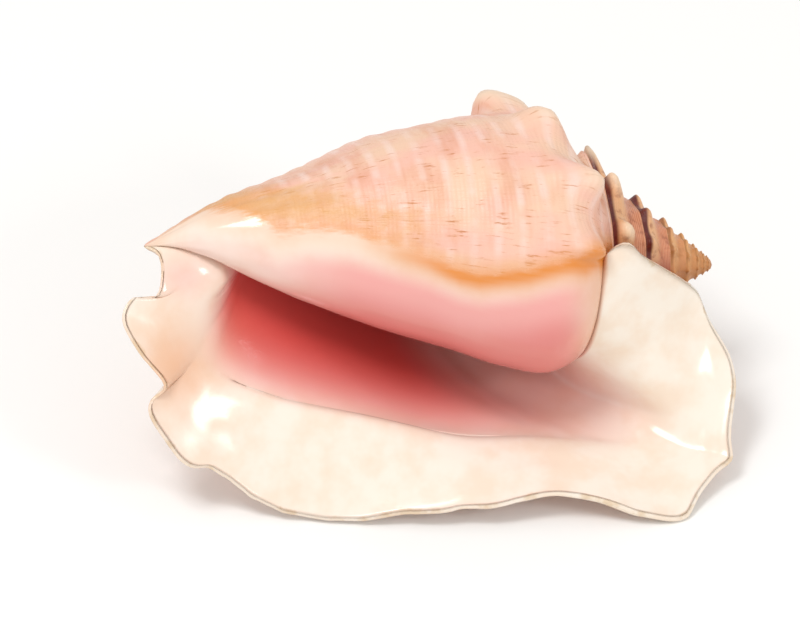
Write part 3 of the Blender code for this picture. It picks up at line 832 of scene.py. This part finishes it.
def rough_tints(seen, notes):
    """Ochre stain, spire brown and knob cream of the outside."""
    turn, share, knob = notes[:, 0], notes[:, 1], notes[:, 5]
    ochre = spot(seen, (-172.0, 24.0), (34.0, 9.0)) + 0.7 * spot(seen, (-128.0, 15.0), (26.0, 9.0))
    ochre = ochre + 0.5 * spot(seen, (-202.0, 26.0), (16.0, 7.0))
    spire = 1.0 - fade((turn + 1.2) / 0.2)
    return np.clip(np.stack([ochre, spire, fade((knob - 4.0) / 7.0)], axis=-1), 0.0, 1.0)


def make_shell():
    """The mesh of the shell with all its attributes."""
    points, notes, faces = build_net()
    seen = seen_from_front(points)
    mesh = bpy.data.meshes.new("conch_shell_skin")
    mesh.from_pydata((laid_down(seen) * MM).tolist(), [], faces)
    store(mesh, "growth", notes[:, 0:3])
    store(mesh, "coat", np.stack([notes[:, 3], notes[:, 4], notes[:, 5]], axis=-1))
    store(mesh, "seen", seen)
    store(mesh, "glaze_tint", glaze_tints(seen, notes))
    store(mesh, "rough_tint", rough_tints(seen, notes))
    mesh.shade_smooth()
    shell = bpy.data.objects.new("conch_shell_skin", mesh)
    bpy.context.scene.collection.objects.link(shell)
    print("skin:", len(points), "points,", sum(len(f) - 2 for f in faces), "triangles")
    return shell


shell = make_shell()
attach(shell, "root")
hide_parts("conch_shell")

# %% [markdown]
# ## Materials
#
# A shell is built in layers. The outside is chalky and stained by years in
# the sea. The inside is porcelain-like glaze, laid down last: pink deep in
# the aperture, orange where it thins out over the body, ivory on the lip.
# Colours are written as they look on a screen and turned to linear light by
# one function.

# %%
# Helpers for materials
def colour(code):
    """Linear colour of a screen colour such as f1c3b2."""
    parts = [int(code[k:k + 2], 16) / 255 for k in (0, 2, 4)]
    parts = [p / 12.92 if p <= 0.04045 else ((p + 0.055) / 1.055) ** 2.4 for p in parts]
    return (*parts, 1.0)


def add(tree, kind, settings=None, **inputs):
    """A node with its settings; an input is a value, a colour or a socket."""
    node = tree.nodes.new(kind)
    for name, value in (settings or {}).items():
        setattr(node, name, value)
    for name, value in inputs.items():
        socket = node.inputs[int(name[1:])] if name[0] == "_" else node.inputs[name]
        if isinstance(value, bpy.types.NodeSocket):
            tree.links.new(value, socket)
        else:
            socket.default_value = value
    return node


def ramp(tree, value, low, high):
    """Smooth 0 to 1 as a value runs from low to high."""
    node = add(tree, "ShaderNodeMapRange", {"interpolation_type": "SMOOTHSTEP"}, _0=value)
    node.inputs["From Min"].default_value = low
    node.inputs["From Max"].default_value = high
    return node.outputs["Result"]


def maths(tree, operation, *values):
    """One step of arithmetic."""
    node = add(tree, "ShaderNodeMath", {"operation": operation})
    for k, value in enumerate(values):
        if isinstance(value, bpy.types.NodeSocket):
            tree.links.new(value, node.inputs[k])
        else:
            node.inputs[k].default_value = value
    return node.outputs[0]


def blend(tree, amount, first, second):
    """First colour turned into the second by an amount."""
    node = add(tree, "ShaderNodeMix", {"data_type": "RGBA"})
    for socket, value in ((node.inputs[0], amount), (node.inputs[6], first), (node.inputs[7], second)):
        if isinstance(value, bpy.types.NodeSocket):
            tree.links.new(value, socket)
        else:
            socket.default_value = value
    return node.outputs[2]


def grain(tree, vector, scale, stretch=(1.0, 1.0, 1.0), detail=3.0, rough=0.55):
    """Noise from 0 to 1 over a vector that is first stretched."""
    moved = add(tree, "ShaderNodeVectorMath", {"operation": "MULTIPLY"}, _0=vector, _1=stretch)
    node = add(tree, "ShaderNodeTexNoise", {}, Vector=moved.outputs[0], Scale=scale, Detail=detail,
               Roughness=rough)
    return node.outputs["Fac"]

# %%
# The shell's own material
def parts_of(tree, name):
    """The three numbers of an attribute, and the whole vector."""
    source = add(tree, "ShaderNodeAttribute", {"attribute_name": name})
    split = add(tree, "ShaderNodeSeparateXYZ", {}, _0=source.outputs["Vector"])
    return (*split.outputs, source.outputs["Vector"])


material = bpy.data.materials.new("conch_shell")
material.use_nodes = True
tree = material.node_tree
tree.nodes.clear()
shader = add(tree, "ShaderNodeBsdfPrincipled", {}, IOR=1.55)
output = add(tree, "ShaderNodeOutputMaterial")
tree.links.new(shader.outputs[0], output.inputs[0])

turn, share, side, growth = parts_of(tree, "growth")
depth, to_edge, knob, coat = parts_of(tree, "coat")
pink, orange, deep, _ = parts_of(tree, "glaze_tint")
ochre, spire, cream, _ = parts_of(tree, "rough_tint")
_, _, up, seen = parts_of(tree, "seen")

# Growth coordinates in millimetres on the last whorl
flat = add(tree, "ShaderNodeVectorMath", {"operation": "MULTIPLY"}, _0=growth,
           _1=(BODY_ROUND, BODY_LENGTH, 0.0)).outputs[0]

# Rough outside: pink and tan, whitish on the cords, brown dashes
base = blend(tree, ramp(tree, grain(tree, flat, 0.05, (1.0, 0.5, 1.0)), 0.35, 0.65),
             colour("eeb9a6"), colour("ecc4a8"))
tan = ramp(tree, grain(tree, flat, 0.09, (0.35, 1.0, 1.0)), 0.45, 0.7)
base = blend(tree, maths(tree, "MULTIPLY", tan, 0.55), base, colour("dd9a78"))
cord_wave = maths(tree, "COSINE", maths(tree, "MULTIPLY", share, 2 * math.pi * BODY_LENGTH / CORD_GAP))
cord_wave = maths(tree, "ADD", cord_wave, maths(tree, "MULTIPLY", grain(tree, flat, 0.08), 1.4))
cords = ramp(tree, cord_wave, 0.6, 2.2)
cords = maths(tree, "MULTIPLY", cords, ramp(tree, grain(tree, flat, 0.07, (1.0, 0.5, 1.0)), 0.35, 0.65))
base = blend(tree, maths(tree, "MULTIPLY", cords, 0.55), base, colour("f4ddd6"))
streak = ramp(tree, grain(tree, flat, 0.9, (1.0, 0.12, 1.0), 4.0, 0.6), 0.56, 0.68)
where = ramp(tree, grain(tree, flat, 0.11, (0.8, 1.0, 1.0)), 0.4, 0.6)
dashes = maths(tree, "MULTIPLY", streak, where)
base = blend(tree, maths(tree, "MULTIPLY", dashes, 0.85), base, colour("c07336"))

stain = maths(tree, "ADD", ochre, maths(tree, "MULTIPLY", grain(tree, flat, 0.14), 0.9))
stain = ramp(tree, stain, 0.6, 1.6)
base = blend(tree, maths(tree, "MULTIPLY", stain, 0.75), base, colour("dc9f55"))
orange_edge = ramp(tree, depth, -7.0, 1.0)
base = blend(tree, maths(tree, "MULTIPLY", orange_edge, 0.55), base, colour("e3984f"))

# Spire: a striated pink ramp, tan crests, maroon in the hollows under them, made very dark there as painted
# shade, and a darker lower side as painted shade
ridge = maths(tree, "SINE", maths(tree, "MULTIPLY", share, 2 * math.pi * 110))
ramp_pink = blend(tree, ramp(tree, ridge, -0.5, 1.0), colour("c97a55"), colour("dd9c78"))
low_share = ramp(tree, share, 0.05, 0.085)
crest = blend(tree, low_share, ramp_pink, colour("e2ac7d"))
# maroon pigment below the knobs, deepened to near black as painted shade in the hollow
hollow = ramp(tree, share, 0.112, 0.13)
spire_colour = blend(tree, hollow, crest, colour("5a0d05"))
# painted shade: the spire turns darker red towards its lower side in the front view
painted_underside_shade = ramp(tree, up, 6.0, -4.0)
spire_colour = blend(tree, maths(tree, "MULTIPLY", painted_underside_shade, 0.7), spire_colour, colour("8c2a16"))
dirt = ramp(tree, grain(tree, seen, 0.25, (1.0, 1.0, 1.0), 5.0), 0.5, 0.7)
spire_colour = blend(tree, maths(tree, "MULTIPLY", dirt, 0.6), spire_colour, colour("8a3a1c"))
old = ramp(tree, turn, -2.6, -4.2)
spire_colour = blend(tree, maths(tree, "MULTIPLY", old, 0.6), spire_colour, colour("d99a55"))
rough = blend(tree, spire, base, spire_colour)
rough = blend(tree, maths(tree, "MULTIPLY", cream, 0.7), rough, colour("f2dcc0"))

# Glaze: ivory, breathed over with pink, red and orange
mottle = grain(tree, seen, 0.06)
ivory = blend(tree, ramp(tree, mottle, 0.35, 0.7), colour("f3e8da"), colour("efdcc8"))
glaze = blend(tree, pink, ivory, colour("eba49e"))
glaze = blend(tree, deep, glaze, colour("d4544f"))
glaze = blend(tree, orange, glaze, colour("e08a3c"))
worn = ramp(tree, maths(tree, "ADD", to_edge, maths(tree, "MULTIPLY", grain(tree, seen, 0.12), 9.0)), 5.0, 3.0)
glaze = blend(tree, maths(tree, "MULTIPLY", worn, 0.55), glaze, colour("d2ae7c"))

border = maths(tree, "ADD", depth, maths(tree, "MULTIPLY", grain(tree, flat, 0.35, (1.0, 0.4, 1.0)), 8.0))
glazed = ramp(tree, border, 2.0, 7.0)
glazed = maths(tree, "MAXIMUM", glazed, ramp(tree, to_edge, 5.0, 2.0))
skin_colour = blend(tree, glazed, rough, glaze)
tree.links.new(skin_colour, shader.inputs["Base Color"])

# Gloss
smooth_side = maths(tree, "MULTIPLY", glazed, -0.24)
mat = maths(tree, "ADD", maths(tree, "MULTIPLY", grain(tree, flat, 0.5), 0.25), 0.27)
roughness = maths(tree, "ADD", mat, smooth_side)
roughness = maths(tree, "MAXIMUM", roughness, 0.12)
tree.links.new(roughness, shader.inputs["Roughness"])

# Fine lines as bump
lines = grain(tree, flat, 1.1, (1.0, 0.07, 1.0), 4.0, 0.6)
rib = maths(tree, "MULTIPLY", ridge, 0.12)
relief = maths(tree, "ADD", lines, rib)
strength = maths(tree, "SUBTRACT", 1.0, glazed)
bump = add(tree, "ShaderNodeBump", {}, Height=relief, Distance=0.0005)
tree.links.new(maths(tree, "MULTIPLY", strength, 0.5), bump.inputs["Strength"])
tree.links.new(bump.outputs[0], shader.inputs["Normal"])
shell.data.materials.append(material)

# %% [markdown]
# ## Floor, light and camera
#
# A seamless pale floor, one large soft light above the camera and a second
# from the side. The camera looks down into the aperture with a long lens.

# %%
# Stage
FLOOR_SIZE = 12.0
bpy.ops.mesh.primitive_plane_add(size=FLOOR_SIZE, location=(0.0, 0.0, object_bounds()[0].z))
floor = bpy.context.object
floor.name = "floor"
paper = bpy.data.materials.new("paper")
paper.use_nodes = True
paper_shader = paper.node_tree.nodes["Principled BSDF"]
paper_shader.inputs["Base Color"].default_value = (0.93, 0.93, 0.92, 1.0)
paper_shader.inputs["Roughness"].default_value = 0.9
floor.data.materials.append(paper)

world = bpy.data.worlds.new("studio")
world.use_nodes = True
sky = world.node_tree.nodes["Background"]
sky.inputs["Color"].default_value = (1.0, 0.99, 0.975, 1.0)
sky.inputs["Strength"].default_value = 0.75
bpy.context.scene.world = world
bpy.context.scene.view_settings.view_transform = "Standard"


def soft_light(name, place, size, power, target=(0.0, 0.0, 0.05)):
    """A square soft light that faces the shell."""
    light = bpy.data.lights.new(name, "AREA")
    light.size = size
    light.energy = power
    item = bpy.data.objects.new(name, light)
    item.location = place
    item.rotation_euler = (Vector(target) - Vector(place)).to_track_quat("-Z", "Y").to_euler()
    bpy.context.scene.collection.objects.link(item)


soft_light("key", (-0.5, -0.5, 1.6), 0.5, 11.0)
soft_light("side", (1.2, -0.9, 1.1), 0.35, 5.0)

# %%
# Camera
CAMERA_AWAY = 4.0
PIXEL = 0.0004
PICTURE_MIDDLE = (-126.4, -60.0, -21.0)
SENSOR = 36.0
WIDE = 800

turns = rest_turns()
middle = Vector(laid_down(np.array([PICTURE_MIDDLE]))[0] * MM)
look = Vector(np.array([0.0, 1.0, 0.0]) @ turns)
up = Vector(np.array([0.0, 0.0, 1.0]) @ turns)
right = look.cross(up)
camera_data = bpy.data.cameras.new("camera")
camera_data.sensor_width = SENSOR
camera_data.lens = SENSOR * CAMERA_AWAY / (PIXEL * WIDE)
camera_data.clip_end = 50.0
camera = bpy.data.objects.new("camera", camera_data)
bpy.context.scene.collection.objects.link(camera)
axes = Matrix((right, up, -look)).transposed().to_4x4()
camera.matrix_world = Matrix.Translation(middle - look * CAMERA_AWAY) @ axes
bpy.context.scene.camera = camera
print("lens, mm:", round(camera_data.lens, 1))
